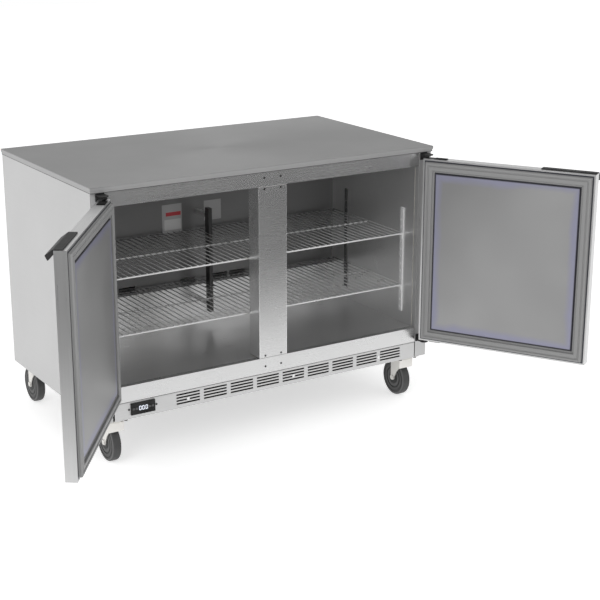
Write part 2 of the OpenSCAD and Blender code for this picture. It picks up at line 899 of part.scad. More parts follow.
module evaporator_cover() {
  // pan across the back of the room, raised middle, return slots at the fan, outlets below
  x1 = room_half - seat;
  xr = room_half - 50;
  z0 = step_z + seat;
  z1 = ceil_z - seat;
  y0 = cover_y;
  y1 = cover_y + 6;
  color([0.55, 0.56, 0.57])
    difference() {
      union() {
        slab(-x1, x1, y1, y1 + sheet, z0, z1);
        slab(-xr, xr, y0, y1 + sheet, z0 + 2, z1 - 4);
      }
      slab(-xr + sheet, xr - sheet, y0 + sheet, y1 + 2 * sheet, z0 + 2 + sheet, z1 - 4 - sheet);
      for (k = [-5 : 5])
        slab(evap_fan_x - 50, evap_fan_x + 50, y0 - 1, y0 + 2 * sheet,
          evap_z + k * 10, evap_z + k * 10 + slot_h);
      for (x = [-267, -36, 84, 156, 320], k = [0 : 2])
        slab(x - 30, x + 30, y0 - 1, y0 + 2 * sheet, z0 + 8 + k * 9, z0 + 8 + k * 9 + slot_h);
    }
}

module labels() {
  color([0.9, 0.9, 0.9]) {
    slab(-130.5, -56.5, cover_y - seat - 0.5, cover_y - seat, floor_z + 308, floor_z + 410);
    slab(28.5, 94.5, cover_y - seat - 0.5, cover_y - seat, floor_z + 338, floor_z + 407);
  }
}

// ---- cooling unit ----

module finned_coil(w, h, d, n) {
  // two columns of tubes through flat fins, U bends at the ends, stubs at the lower left
  row = h / tube_rows;
  zr = -h / 2 + row / 2;
  for (k = [0 : n - 1])
    translate([-w / 2 + k * (w - fin_t) / (n - 1), -d / 2, -h / 2])
      cube([fin_t, d, h]);
  for (s = [-1, 1], k = [0 : tube_rows - 1])
    rod_x(-w / 2 - 6, w / 2 + 6, s * d / 4, zr + k * row, tube_r);
  for (s = [-1, 1]) {
    for (k = [0 : 2 : tube_rows - 2])
      translate([w / 2 + 6, s * d / 4, zr + (k + 0.5) * row])
        rotate([90, 90, 0])
          u_bend(row / 2);
    for (k = [1 : 2 : tube_rows - 3])
      translate([-w / 2 - 6, s * d / 4, zr + (k + 0.5) * row])
        rotate([90, -90, 0])
          u_bend(row / 2);
  }
  translate([-w / 2 - 6, 0, zr + (tube_rows - 1) * row])
    rotate([0, 0, 90])
      u_bend(d / 4);
}

module u_bend(r) {
  rotate_extrude(angle = 180, $fn = facets)
    translate([r, 0])
      circle(tube_r, $fn = 24);
}

module fan_blades(r) {
  // hub with five pitched blades, axis along Y, hub centred on the origin
  hub = 17;
  t = 1.6;
  wide = r * 0.7;
  rotate([90, 0, 0]) {
    difference() {
      cylinder(h = 18, r = hub, center = true, $fn = facets);
      translate([0, 0, -10])
        cylinder(h = 15, r = 2.5 + run_fit, $fn = 24);
    }
    for (k = [0 : 4])
      rotate([0, 0, k * 72])
        rotate([26, 0, 0])
          translate([hub - 3, -wide / 2, -t / 2])
            cube([r - hub + 1, wide, t]);
  }
}

module fan_motor(len) {
  // round motor with its shaft to the front, front face on the origin
  rotate([-90, 0, 0]) {
    cylinder(h = len, r = 23, $fn = facets);
    translate([0, 0, -15])
      cylinder(h = 16, r = 2.5, $fn = 24);
  }
}

module evaporator_coil() {
  color([0.8, 0.8, 0.82]) {
    translate([evap_x, evap_y, evap_z + evap_h / 2])
      finned_coil(evap_w, evap_h, evap_d, 22);
    for (x = [evap_x - evap_w / 2 + 40, evap_x + evap_w / 2 - 40])
      slab(x - 10, x + 10, evap_y - evap_d / 2, evap_y + evap_d / 2, step_z + seat, evap_z - seat);
  }
}

module evaporator_fan() {
  color([0.15, 0.15, 0.16])
    translate([evap_fan_x, evap_y - 22, evap_z])
      fan_blades(evap_fan_r);
}

module evaporator_fan_motor() {
  y0 = evap_y - 10;
  y1 = chamber_back - liner_t - seat;
  color([0.35, 0.35, 0.37]) {
    translate([evap_fan_x, y0, evap_z])
      fan_motor(38);
    slab(evap_fan_x - 6, evap_fan_x + 6, y0 + 30, y1, evap_z - 6, evap_z + 6);
    slab(evap_fan_x - 40, evap_fan_x + 40, y1 - 2, y1, evap_z - 40, evap_z + 40);
  }
}

module compressor() {
  // sealed shell on a foot plate, four rubber feet, terminal box on the left side
  foot = comp_r - 4;
  z0 = bay_floor;
  edge = 16;
  color([0.08, 0.08, 0.09]) {
    translate([comp_x, unit_y, z0 + 14])
      rotate_extrude($fn = 96)
        union() {
          square([comp_r - edge, comp_h - 2]);
          translate([0, edge])
            square([comp_r, comp_h - 2 - 2 * edge]);
          for (z = [edge, comp_h - 2 - edge])
            translate([comp_r - edge, z])
              circle(edge, $fn = 48);
        }
    slab(comp_x - comp_r - 14, comp_x + comp_r + 14, unit_y - foot, unit_y + foot,
      z0 + 10 + seat, z0 + 14 - seat);
    for (sx = [-1, 1], sy = [-1, 1])
      rod_z(comp_x + sx * (comp_r + 4), unit_y + sy * (foot - 10), z0, z0 + 10, 8);
    slab(comp_x - comp_r - 24, comp_x - comp_r - seat, unit_y - 24, unit_y + 24,
      z0 + 34, z0 + 84);
  }
}

module condenser_coil() {
  color([0.2, 0.2, 0.21]) {
    translate([coil_x, coil_y, bay_floor + 8 + coil_h / 2])
      finned_coil(coil_w, coil_h, coil_d, 20);
    for (x = [coil_x - coil_w / 2 + 20, coil_x + coil_w / 2 - 20])
      slab(x - 8, x + 8, coil_y - coil_d / 2, coil_y + coil_d / 2, bay_floor, bay_floor + 8 - seat);
  }
}

cond_fan_y = coil_y + coil_d / 2 + 17;
cond_fan_z = bay_floor + 8 + coil_h / 2;

module condenser_fan() {
  color([0.15, 0.15, 0.16])
    translate([coil_x, cond_fan_y, cond_fan_z])
      fan_blades(fan_r);
}

module condenser_fan_motor() {
  y0 = cond_fan_y + 12;
  color([0.35, 0.35, 0.37]) {
    translate([coil_x, y0, cond_fan_z])
      fan_motor(26);
    slab(coil_x - 12, coil_x + 12, y0 + 16, y0 + 20, bay_floor, cond_fan_z);
    slab(coil_x - 30, coil_x + 30, y0 + 8, y0 + 28, bay_floor, bay_floor + 2);
  }
}

module pipe(a, b) {
  d = b - a;
  len = norm(d);
  translate(a)
    rotate([0, acos(d[2] / len), atan2(d[1], d[0])])
      cylinder(h = len, r = line_r, $fn = 24);
}

function along(a, b) = (b - a) / norm(b - a);

module elbow(p, u, v) {
  // quarter bend at corner p from direction u into direction v
  c = p + (v - u) * bend_r;
  w = cross(u, v);
  multmatrix([
    [-v[0], u[0], w[0], c[0]], [-v[1], u[1], w[1], c[1]], [-v[2], u[2], w[2], c[2]], [0, 0, 0, 1]
  ])
    rotate_extrude(angle = 90, $fn = facets)
      translate([bend_r, 0])
        circle(line_r, $fn = 24);
}

module pipe_run(points) {
  last = len(points) - 2;
  for (k = [0 : last]) {
    u = along(points[k], points[k + 1]);
    pipe(points[k] + (k > 0 ? bend_r : 0) * u, points[k + 1] - (k < last ? bend_r : 0) * u);
  }
  for (k = [1 : last])
    elbow(points[k], along(points[k - 1], points[k]), along(points[k], points[k + 1]));
}

module refrigerant_lines() {
  stub = 6 + seat;
  shell = comp_x + comp_r + seat;
  coil_end = coil_x - coil_w / 2 - stub;
  evap_end = evap_x - evap_w / 2 - stub;
  coil_z = bay_floor + 8 + coil_h / tube_rows / 2;
  ez = evap_z + evap_h / tube_rows / 2;
  sz = bay_floor + comp_h * 0.5;
  dz = bay_floor + comp_h * 0.8;
  rear = coil_y + coil_d / 4;
  color([0.72, 0.42, 0.26]) {
    pipe_run([
      [shell, unit_y, sz], [riser_x(0), unit_y, sz], [riser_x(0), riser_y, sz],
      [riser_x(0), riser_y, ez], [riser_x(0), evap_y + evap_d / 4, ez],
      [evap_end, evap_y + evap_d / 4, ez]
    ]);
    pipe_run([
      [coil_end, riser_y, coil_z], [riser_x(1), riser_y, coil_z], [riser_x(1), riser_y, ez],
      [riser_x(1), evap_y - evap_d / 4, ez], [evap_end, evap_y - evap_d / 4, ez]
    ]);
    pipe_run([
      [shell, unit_y + 12, dz], [coil_end - 40, unit_y + 12, dz],
      [coil_end - 40, unit_y + 12, coil_z], [coil_end - 40, rear, coil_z], [coil_end, rear, coil_z]
    ]);
  }
}

worktop();
side_panel_left();
side_panel_right();
back_panel();
rear_grille();
inner_liner();
foam_insulation();
front_header();
front_sill();
center_mullion();
frame_screws();
louver_panel();
controller_body();
display_window();
key_1();
key_2();
key_3();
key_4();
base_pan();
caster_plates();
caster_bolts();
fork_front_left();
fork_front_right();
fork_rear_left();
fork_rear_right();
wheel_front_left();
wheel_front_right();
wheel_rear_left();
wheel_rear_right();
door_left_skin();
door_left_foam();
door_left_liner();
door_left_gasket();
handle_left();
hinge_insert_left();
door_right_skin();
door_right_foam();
door_right_liner();
door_right_gasket();
handle_right();
hinge_insert_right();
hinge_brackets_left();
hinge_brackets_right();
shelf_left_lower();
shelf_left_upper();
shelf_right_lower();
shelf_right_upper();
shelf_clips();
pilasters();
center_post();
evaporator_cover();
evaporator_coil();
evaporator_fan();
evaporator_fan_motor();
compressor();
condenser_coil();
condenser_fan();
condenser_fan_motor();
refrigerant_lines();
labels();
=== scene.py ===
import bpy, bmesh, json, math
import numpy as np
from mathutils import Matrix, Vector


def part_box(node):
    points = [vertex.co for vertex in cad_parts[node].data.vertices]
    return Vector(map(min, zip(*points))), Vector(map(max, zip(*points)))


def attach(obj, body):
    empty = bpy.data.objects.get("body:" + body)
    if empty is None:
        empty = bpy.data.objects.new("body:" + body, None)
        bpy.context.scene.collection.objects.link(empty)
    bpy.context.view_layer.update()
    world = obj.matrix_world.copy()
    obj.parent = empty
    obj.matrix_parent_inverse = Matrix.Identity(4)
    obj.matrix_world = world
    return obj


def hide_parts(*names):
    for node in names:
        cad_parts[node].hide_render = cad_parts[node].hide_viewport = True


# Two-door under counter fridge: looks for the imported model, doors open, in a plain pale studio.

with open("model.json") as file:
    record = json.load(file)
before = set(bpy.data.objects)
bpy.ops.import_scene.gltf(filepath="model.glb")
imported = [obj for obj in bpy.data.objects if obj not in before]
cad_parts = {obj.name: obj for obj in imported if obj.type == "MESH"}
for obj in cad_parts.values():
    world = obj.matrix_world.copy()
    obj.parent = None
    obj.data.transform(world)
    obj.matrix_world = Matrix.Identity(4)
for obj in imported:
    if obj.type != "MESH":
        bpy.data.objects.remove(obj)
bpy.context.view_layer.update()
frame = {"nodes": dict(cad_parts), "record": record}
nodes = frame["nodes"]
record = frame["record"]
slotOf = {s["node"]: s["material_slot"] for s in record["subparts"]}
bodyOf = {n: b for b, members in record["behaviour"]["bodies"].items() for n in members}
print("frame loaded:", len(nodes), "nodes")

# camera

cameraSet = {"place": (-2.17835, -3.95265, 1.73736), "lens": 84.18,
             "turn": (1.27350, -0.00134, -0.56230), "sensor": 36.0, "near": 0.05}


def addCamera():
    data = bpy.data.cameras.new("camera")
    data.lens = cameraSet["lens"]
    data.sensor_width = cameraSet["sensor"]
    data.clip_start = cameraSet["near"]
    obj = bpy.data.objects.new("camera", data)
    obj.location = cameraSet["place"]
    obj.rotation_euler = cameraSet["turn"]
    bpy.context.scene.collection.objects.link(obj)
    bpy.context.scene.camera = obj


# mesh helpers

def makeObject(name, points, faces, smooth=True, uv=None):
    # points (n, 3), faces (m, 4) or (m, 3) index arrays, uv (n, 2) per point
    mesh = bpy.data.meshes.new(name)
    mesh.from_pydata(np.asarray(points).tolist(), [], np.asarray(faces).tolist())
    mesh.update()
    if smooth:
        mesh.polygons.foreach_set("use_smooth", np.ones(len(mesh.polygons), dtype=bool))
    if uv is not None:
        layer = mesh.uv_layers.new(name="spread")
        corner = np.zeros(len(mesh.loops), dtype=np.int32)
        mesh.loops.foreach_get("vertex_index", corner)
        layer.data.foreach_set("uv", np.asarray(uv)[corner].ravel())
    obj = bpy.data.objects.new(name, mesh)
    bpy.context.scene.collection.objects.link(obj)
    return obj


def gridFaces(rows, cols, closeRows=False, closeCols=False):
    # quads between neighbouring points of a rows x cols grid, wrapping round where asked
    r = np.arange(rows if closeRows else rows - 1)
    c = np.arange(cols if closeCols else cols - 1)
    i, j = np.meshgrid(r, c, indexing="ij")
    i2, j2 = (i + 1) % rows, (j + 1) % cols
    return np.stack([i * cols + j, i * cols + j2, i2 * cols + j2, i2 * cols + j], axis=-1).reshape(-1, 4)


meshSet = {"mergeNew": 1e-6, "mergeCad": 2e-6, "flat": 1.0, "crease": 30, "bevelAngle": 35, "bevelSteps": 2}


def fixNormals(obj):
    # doubles merged first, then every face turned outwards
    work = bmesh.new()
    work.from_mesh(obj.data)
    bmesh.ops.remove_doubles(work, verts=work.verts, dist=meshSet["mergeNew"])
    bmesh.ops.recalc_face_normals(work, faces=work.faces)
    work.to_mesh(obj.data)
    work.free()


def addBevel(obj, width):
    mod = obj.modifiers.new("edge", "BEVEL")
    mod.width = width
    mod.segments = meshSet["bevelSteps"]
    mod.limit_method = "ANGLE"
    mod.angle_limit = math.radians(meshSet["bevelAngle"])
    mod.harden_normals = False


def smoothByAngle(obj, angle):
    # smooth shading with creases kept sharp past the angle
    mesh = obj.data
    work = bmesh.new()
    work.from_mesh(mesh)
    for face in work.faces:
        face.smooth = True
    for edge in work.edges:
        edge.smooth = edge.calc_face_angle(math.pi) < math.radians(angle)  # open edges stay sharp
    work.to_mesh(mesh)
    work.free()


def softCopy(node, width):
    # the CAD node merged into clean faces, with its edges rounded
    mesh = nodes[node].data.copy()
    mesh.name = node + "Soft"
    work = bmesh.new()
    work.from_mesh(mesh)
    bmesh.ops.remove_doubles(work, verts=work.verts, dist=meshSet["mergeCad"])
    bmesh.ops.dissolve_limit(work, angle_limit=math.radians(meshSet["flat"]), verts=work.verts,
                             edges=work.edges)
    work.to_mesh(mesh)
    work.free()
    obj = bpy.data.objects.new(node + "Soft", mesh)
    bpy.context.scene.collection.objects.link(obj)
    smoothByAngle(obj, meshSet["crease"])
    addBevel(obj, width)
    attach(obj, bodyOf[node])
    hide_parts(node)
    return obj


# materials

def linearGrey(level):
    x = level / 255.0
    return x / 12.92 if x < 0.04045 else ((x + 0.055) / 1.055) ** 2.4


def newMaterial(name):
    mat = bpy.data.materials.new(name)
    mat.use_nodes = True
    tree = mat.node_tree
    shader = tree.nodes["Principled BSDF"]
    return mat, tree, shader


def noiseNode(tree, scale, stretch=(1, 1, 1), detail=4.0):
    coord = tree.nodes.new("ShaderNodeTexCoord")
    mapping = tree.nodes.new("ShaderNodeMapping")
    mapping.inputs["Scale"].default_value = stretch
    noise = tree.nodes.new("ShaderNodeTexNoise")
    noise.inputs["Scale"].default_value = scale
    noise.inputs["Detail"].default_value = detail
    tree.links.new(coord.outputs["Object"], mapping.inputs["Vector"])
    tree.links.new(mapping.outputs["Vector"], noise.inputs["Vector"])
    return noise


def ramp(tree, source, low, high, fromLow=0.3, fromHigh=0.7):
    node = tree.nodes.new("ShaderNodeMapRange")
    node.inputs["From Min"].default_value = fromLow
    node.inputs["From Max"].default_value = fromHigh
    node.inputs["To Min"].default_value = low
    node.inputs["To Max"].default_value = high
    tree.links.new(source, node.inputs["Value"])
    return node.outputs["Result"]


def mixColour(tree, factor, a, b):
    node = tree.nodes.new("ShaderNodeMix")
    node.data_type = "RGBA"
    tree.links.new(factor, node.inputs[0])
    for socket, value in ((node.inputs[6], a), (node.inputs[7], b)):
        if isinstance(value, tuple):
            socket.default_value = (*value, 1.0)
        else:
            tree.links.new(value, socket)
    return node.outputs[2]


def mathNode(tree, operation, first, second):
    node = tree.nodes.new("ShaderNodeMath")
    node.operation = operation
    tree.links.new(first, node.inputs[0])
    tree.links.new(second, node.inputs[1])
    return node.outputs[0]


def splitCoords(tree, output="Object"):
    # the three coordinates as separate outputs
    coord = tree.nodes.new("ShaderNodeTexCoord")
    split = tree.nodes.new("ShaderNodeSeparateXYZ")
    tree.links.new(coord.outputs[output], split.inputs[0])
    return split.outputs


def addBump(tree, shader, noise, strength, distance):
    bump = tree.nodes.new("ShaderNodeBump")
    bump.inputs["Strength"].default_value = strength
    bump.inputs["Distance"].default_value = distance
    tree.links.new(noise.outputs["Fac"], bump.inputs["Height"])
    tree.links.new(bump.outputs["Normal"], shader.inputs["Normal"])


steelSet = {"streak": 1.6, "along": 3, "across": 500, "patches": 3.1, "smears": 9.0,
            "smearStretch": (1, 1.6, 0.7), "darker": 0.035, "lighter": 0.02, "smearShade": 0.86,
            "smearMost": 0.10, "glossStreak": 0.02, "bumpHeight": 0.0002}


def steelMaterial(name, colour, rough=0.34, metal=0.85, grain="z", depth=0.15, patch=0.05, aniso=0.4,
                  fleck=1.0):
    # brushed sheet: fine streaks along the grain, slow patches of gloss, faint darker smears
    mat, tree, shader = newMaterial(name)
    stretch = tuple(steelSet["along"] if axis == grain else steelSet["across"] for axis in "xyz")
    streak = noiseNode(tree, steelSet["streak"], stretch, 5.0)
    wide = noiseNode(tree, steelSet["patches"], detail=3.0)
    smear = noiseNode(tree, steelSet["smears"], steelSet["smearStretch"], 6.0)
    dark = tuple(c * (1 - steelSet["darker"] * fleck) for c in colour)
    light = tuple(min(1.0, c * (1 + steelSet["lighter"] * fleck)) for c in colour)
    streaked = mixColour(tree, ramp(tree, streak.outputs["Fac"], 0.0, 1.0), dark, light)
    smudge = ramp(tree, smear.outputs["Fac"], 0.0, steelSet["smearMost"], 0.45, 0.75)
    smudged = mixColour(tree, smudge, streaked, tuple(c * steelSet["smearShade"] for c in colour))
    tree.links.new(smudged, shader.inputs["Base Color"])
    slow = ramp(tree, wide.outputs["Fac"], rough - patch, rough + patch)
    shift = steelSet["glossStreak"] * fleck
    quick = ramp(tree, streak.outputs["Fac"], -shift, shift)
    tree.links.new(mathNode(tree, "ADD", slow, quick), shader.inputs["Roughness"])
    shader.inputs["Metallic"].default_value = metal
    shader.inputs["Anisotropic"].default_value = aniso
    addBump(tree, shader, streak, depth, steelSet["bumpHeight"])
    return mat


paintSet = {"patches": 14.0, "dust": 0.35, "glossier": 0.06, "duller": 0.08, "bumpHeight": 0.0003}


def paintMaterial(name, colour, rough=0.45, speck=0.15, scale=180.0, metal=0.0, coat=0.0, wear=0.1,
                  gloss=0.5):
    # paint, plastic or plating: fine orange-peel bump, uneven gloss, slightly dusty patches
    mat, tree, shader = newMaterial(name)
    fine = noiseNode(tree, scale)
    wide = noiseNode(tree, paintSet["patches"], detail=5.0)
    dusty = tuple(c + (paintSet["dust"] - c) * wear for c in colour)
    base = mixColour(tree, ramp(tree, wide.outputs["Fac"], 0.0, 1.0, 0.4, 0.8), colour, dusty)
    tree.links.new(base, shader.inputs["Base Color"])
    uneven = ramp(tree, wide.outputs["Fac"], rough - paintSet["glossier"], rough + paintSet["duller"])
    tree.links.new(uneven, shader.inputs["Roughness"])
    shader.inputs["Metallic"].default_value = metal
    shader.inputs["Coat Weight"].default_value = coat
    shader.inputs["Specular IOR Level"].default_value = gloss
    addBump(tree, shader, fine, speck, paintSet["bumpHeight"])
    return mat


def grey(level, tint=(1.0, 1.0, 1.0)):
    # a screen level out of 255 as a linear colour, tinted where asked
    g = linearGrey(level)
    return tuple(min(1.0, g * t) for t in tint)


frontLook = {"colour": grey(210), "rough": 0.27, "metal": 0.93, "grain": "x", "depth": 0.0005,
             "patch": 0.015, "aniso": 0.0, "fleck": 0.35}
finish = {
    "worktop_steel": steelMaterial("worktopSteel", grey(155), rough=0.5, metal=0.5, grain="x", depth=0.1),
    "side_steel": steelMaterial("sideSteel", grey(189), rough=0.38, metal=0.7, grain="y", depth=0.004),
    "front_steel": steelMaterial("frontSteel", **frontLook),
    "louver_steel": steelMaterial("louverSteel", grey(200), rough=0.4, metal=0.5, grain="x", depth=0.004),
    "zinc_steel": paintMaterial("zincSheet", grey(170), rough=0.42, metal=0.6, scale=60.0),
    "room_steel": steelMaterial("roomSteel", grey(222), rough=0.32, metal=0.86, grain="x", depth=0.004),
    "foam": paintMaterial("foamCore", (0.80, 0.72, 0.50), rough=0.9, speck=0.4),
    "screw_steel": steelMaterial("screwSteel", grey(70), rough=0.3, metal=1.0, grain="x"),
    "controller_black": paintMaterial("controllerBlack", grey(24), rough=0.5, speck=0.05, gloss=0.15),
    "display_dark": paintMaterial("displayDark", (0.012, 0.016, 0.03), rough=0.12, speck=0.0, wear=0.02),
    "key_grey": paintMaterial("keyGrey", grey(78), rough=0.5, gloss=0.3),
    "plate_zinc": paintMaterial("plateZinc", grey(205, (1.0, 0.985, 0.93)), rough=0.4, metal=0.5),
    "fork_zinc": paintMaterial("forkZinc", grey(226, (1.0, 0.98, 0.94)), rough=0.42, metal=0.35),
    "wheel_grey": paintMaterial("wheelRubber", grey(58), rough=0.6, speck=0.25, wear=0.05),
    "door_steel": steelMaterial("doorSteel", grey(200), rough=0.3, metal=0.85, grain="z", depth=0.0005,
                                patch=0.02, aniso=0.0),
    "door_inner": steelMaterial("doorInner", grey(150), rough=0.4, metal=0.5, grain="z"),
    "gasket_grey": paintMaterial("gasketVinyl", grey(136), rough=0.45, speck=0.04, wear=0.02),
    "handle_dark": paintMaterial("handleDark", grey(38), rough=0.5, speck=0.1, wear=0.03, gloss=0.2),
    "hinge_black": paintMaterial("hingeBlack", grey(10), rough=0.6, wear=0.01, gloss=0.12),
    "bracket_steel": paintMaterial("bracketBlack", grey(30), rough=0.45, wear=0.05, gloss=0.3),
    "shelf_wire": paintMaterial("shelfWire", grey(222), rough=0.32, metal=0.4, speck=0.05, wear=0.05),
    "pilaster_steel": steelMaterial("pilasterSteel", grey(238), rough=0.3, metal=0.45, grain="z"),
    "cover_metal": steelMaterial("coverMetal", grey(116), rough=0.36, metal=0.7, grain="x", depth=0.004),
    "label_white": paintMaterial("labelPaper", grey(222), rough=0.7, speck=0.02, wear=0.02),
    "coil_aluminium": steelMaterial("coilAluminium", grey(195), rough=0.35, metal=0.9, grain="z"),
    "coil_black": paintMaterial("coilBlack", grey(40), rough=0.5),
    "copper": paintMaterial("copperTube", (0.80, 0.42, 0.25), rough=0.3, metal=1.0, speck=0.05, wear=0.05),
    "compressor_black": paintMaterial("compressorBlack", grey(28), rough=0.3, coat=0.3),
    "fan_plastic": paintMaterial("fanPlastic", grey(40), rough=0.4),
    "motor_grey": paintMaterial("motorGrey", grey(90), rough=0.4, metal=0.4),
}
# the pan behind the louvers painted near-black as painted shade, with a little dust on it
panPaintedShade = paintMaterial("panPaintedShade", grey(22), rough=0.6, metal=0.2, scale=60.0, wear=0.05)
postSteel = steelMaterial("postSteel", grey(70), rough=0.35, metal=0.7, grain="z")


def recolour(mat, axis, low, high, other):
    # blend the base colour into another one across a band of one object coordinate
    tree = mat.node_tree
    shader = tree.nodes["Principled BSDF"]
    old = shader.inputs["Base Color"].links[0].from_socket
    fade = ramp(tree, splitCoords(tree)["XYZ".index(axis)], 0.0, 1.0, low, high)
    tree.links.new(mixColour(tree, fade, old, other), shader.inputs["Base Color"])


def recolourBox(mat, low, high, other, soft=0.0004):
    # blend the base colour into another one inside a box of object coordinates: the product of
    # one rising and one falling step on each axis
    tree = mat.node_tree
    shader = tree.nodes["Principled BSDF"]
    old = shader.inputs["Base Color"].links[0].from_socket
    split = splitCoords(tree)
    steps = []
    for axis in range(3):
        steps.append(ramp(tree, split[axis], 0.0, 1.0, low[axis] - soft, low[axis] + soft))
        steps.append(ramp(tree, split[axis], 1.0, 0.0, high[axis] - soft, high[axis] + soft))
    inside = steps[0]
    for step in steps[1:]:
        inside = mathNode(tree, "MULTIPLY", inside, step)
    tree.links.new(mixColour(tree, inside, old, other), shader.inputs["Base Color"])


def paintNode(obj, mat):
    obj.data.materials.clear()
    obj.data.materials.append(mat)


for name, obj in nodes.items():
    for place in obj.material_slots:
        place.material = finish[slotOf[name]]
nodes["base_pan"].material_slots[0].material = panPaintedShade  # the pan seen through the louvers, painted near-black as painted shade behind the louvered panel
nodes["center_post"].material_slots[0].material = postSteel

# bands of another tone: where they start and end from the given coordinate, and their level
bandSet = {"postArmsPaintedLight": (0.027, 0.029, 190), "topRimHighlight": (-0.0016, -0.0028, 168),
           "topFootShade": (0.0022, 0.0012, 70), "wiresBackShade": (-0.16, 0.13, 118),
           "uprightsBackShade": (-0.10, 0.0, 104)}


def addBand(mat, axis, base, key):
    start, end, level = bandSet[key]
    recolour(mat, axis, base + start, base + end, grey(level))


# painted light: the arms behind the post's face are lighter than the dark post, so they do not read as
# shaded
addBand(postSteel, "Y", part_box("center_post")[0][1], "postArmsPaintedLight")
# painted highlight: the worktop's edge faces below the top painted lighter than the top
addBand(finish["worktop_steel"], "Z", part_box("worktop")[1][2], "topRimHighlight")
# painted shade: a dark band along the foot of the worktop's edge and on its underside
addBand(finish["worktop_steel"], "Z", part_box("worktop")[0][2], "topFootShade")
addBand(finish["shelf_wire"], "Y", 0.0, "wiresBackShade")  # painted shade: wires and uprights darker towards the back of the cabinet
addBand(finish["pilaster_steel"], "Y", 0.0, "uprightsBackShade")

# painted shade: the side panel painted near-black behind the gap where the louvered panel stops short of
# each stile
gapShadeSet = {"start": 0.0016, "end": 0.0050, "before": 0.002, "behind": 0.03, "foot": 0.1, "level": 10}
panelTop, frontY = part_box("front_sill")[0][2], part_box("front_sill")[0][1]
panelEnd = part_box("louver_panel")[1][0]
for sign in (-1, 1):
    ends = sorted((sign * (panelEnd + gapShadeSet["start"]), sign * (panelEnd + gapShadeSet["end"])))
    recolourBox(finish["side_steel"], (ends[0], frontY - gapShadeSet["before"], gapShadeSet["foot"]),
                (ends[1], frontY + gapShadeSet["behind"], panelTop), grey(gapShadeSet["level"]))

# below "split" and right of "side" the screws are the bright ones of the louvered panel
screwSet = {"split": (0.203, 0.207), "side": (-0.405, -0.395), "dark": (52, 66), "bright": (222, 236),
            "grain": 900.0, "gloss": (0.28, 0.36), "metal": 0.6}


def screwMaterial():
    # darkened heads in the frame and beside the controller, bright heads along the louvers
    mat, tree, shader = newMaterial("screwHeads")
    split = splitCoords(tree)
    below = ramp(tree, split[2], 1.0, 0.0, *screwSet["split"])
    beside = ramp(tree, split[0], 0.0, 1.0, *screwSet["side"])
    fine = noiseNode(tree, screwSet["grain"], detail=3.0)
    tones = [mixColour(tree, ramp(tree, fine.outputs["Fac"], 0.0, 1.0), *map(grey, screwSet[key]))
             for key in ("dark", "bright")]
    tree.links.new(mixColour(tree, mathNode(tree, "MULTIPLY", below, beside), *tones),
                   shader.inputs["Base Color"])
    tree.links.new(ramp(tree, fine.outputs["Fac"], *screwSet["gloss"]), shader.inputs["Roughness"])
    shader.inputs["Metallic"].default_value = screwSet["metal"]
    return mat


nodes["frame_screws"].material_slots[0].material = screwMaterial()

# ring stops as (share of the radius, level): the darkest stops are painted shade in the grooves, the 98
# near the rim a painted highlight
wheelSet = {"stops": [(0.00, 96), (0.17, 84), (0.20, 22), (0.33, 28), (0.37, 88), (0.52, 74), (0.56, 20),
                      (0.60, 22), (0.63, 70), (0.86, 52), (0.92, 98), (1.0, 54)],
            "dust": 60.0, "dustLevel": 110, "dustMost": 0.16, "gloss": (0.5, 0.66), "grain": 300.0,
            "bump": 0.2, "bumpHeight": 0.0004}


def wheelMaterial(node):
    # dark rubber and hub in rings round the axle, the radius from the axle picks the tone: painted shade in
    # the grooves and painted highlights beside them and near the tyre's rim
    mat, tree, shader = newMaterial(node + "Look")
    lo, hi = (np.array(c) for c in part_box(node))
    mid, radius = (lo + hi) / 2, (hi[2] - lo[2]) / 2
    coord = tree.nodes.new("ShaderNodeTexCoord")
    centre = tree.nodes.new("ShaderNodeMapping")
    centre.inputs["Location"].default_value = (0.0, -mid[1], -mid[2])
    centre.inputs["Scale"].default_value = (0.0, 1.0, 1.0)
    length = tree.nodes.new("ShaderNodeVectorMath")
    length.operation = "LENGTH"
    tree.links.new(coord.outputs["Object"], centre.inputs["Vector"])
    tree.links.new(centre.outputs["Vector"], length.inputs[0])
    rings = tree.nodes.new("ShaderNodeValToRGB")
    stops = rings.color_ramp.elements
    for k, (spot, level) in enumerate(wheelSet["stops"]):
        item = stops[k] if k < 2 else stops.new(spot)
        item.position = spot
        item.color = (*grey(level), 1.0)
    tree.links.new(ramp(tree, length.outputs["Value"], 0.0, 1.0, 0.0, radius), rings.inputs[0])
    dust = noiseNode(tree, wheelSet["dust"], detail=5.0)
    dusty = ramp(tree, dust.outputs["Fac"], 0.0, wheelSet["dustMost"], 0.4, 0.8)
    tree.links.new(mixColour(tree, dusty, rings.outputs[0], grey(wheelSet["dustLevel"])),
                   shader.inputs["Base Color"])
    tree.links.new(ramp(tree, dust.outputs["Fac"], *wheelSet["gloss"]), shader.inputs["Roughness"])
    addBump(tree, shader, noiseNode(tree, wheelSet["grain"]), wheelSet["bump"], wheelSet["bumpHeight"])
    return mat


for node in sorted(n for n in nodes if n.startswith("wheel_")):
    nodes[node].material_slots[0].material = wheelMaterial(node)

stickerSet = {"film": 146, "field": 176, "bar": (0.014, 0.070, 0.027, 0.040), "red": (0.36, 0.02, 0.03),
              "margin": 0.006, "fieldDrop": (0.088, 0.052)}


def labelMaterial():
    # blank stickers: dull film, a paler middle field, and a plain red bar on the larger one
    mat = paintMaterial("stickers", grey(stickerSet["film"]), rough=0.5, speck=0.02, scale=120.0, wear=0.05)
    lo, hi = (np.array(c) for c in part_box("labels"))
    left, right, low, high = stickerSet["bar"]
    drop = stickerSet["fieldDrop"]
    recolourBox(mat, (lo[0] + left - stickerSet["margin"], lo[1] - 1, hi[2] - drop[0]),
                (lo[0] + right, hi[1] + 1, hi[2] - drop[1]), grey(stickerSet["field"]))
    recolourBox(mat, (lo[0] + left, lo[1] - 1, hi[2] - high), (lo[0] + right, hi[1] + 1, hi[2] - low),
                stickerSet["red"])
    return mat


nodes["labels"].material_slots[0].material = labelMaterial()
print("materials set")

# rounded sheet metal and small parts

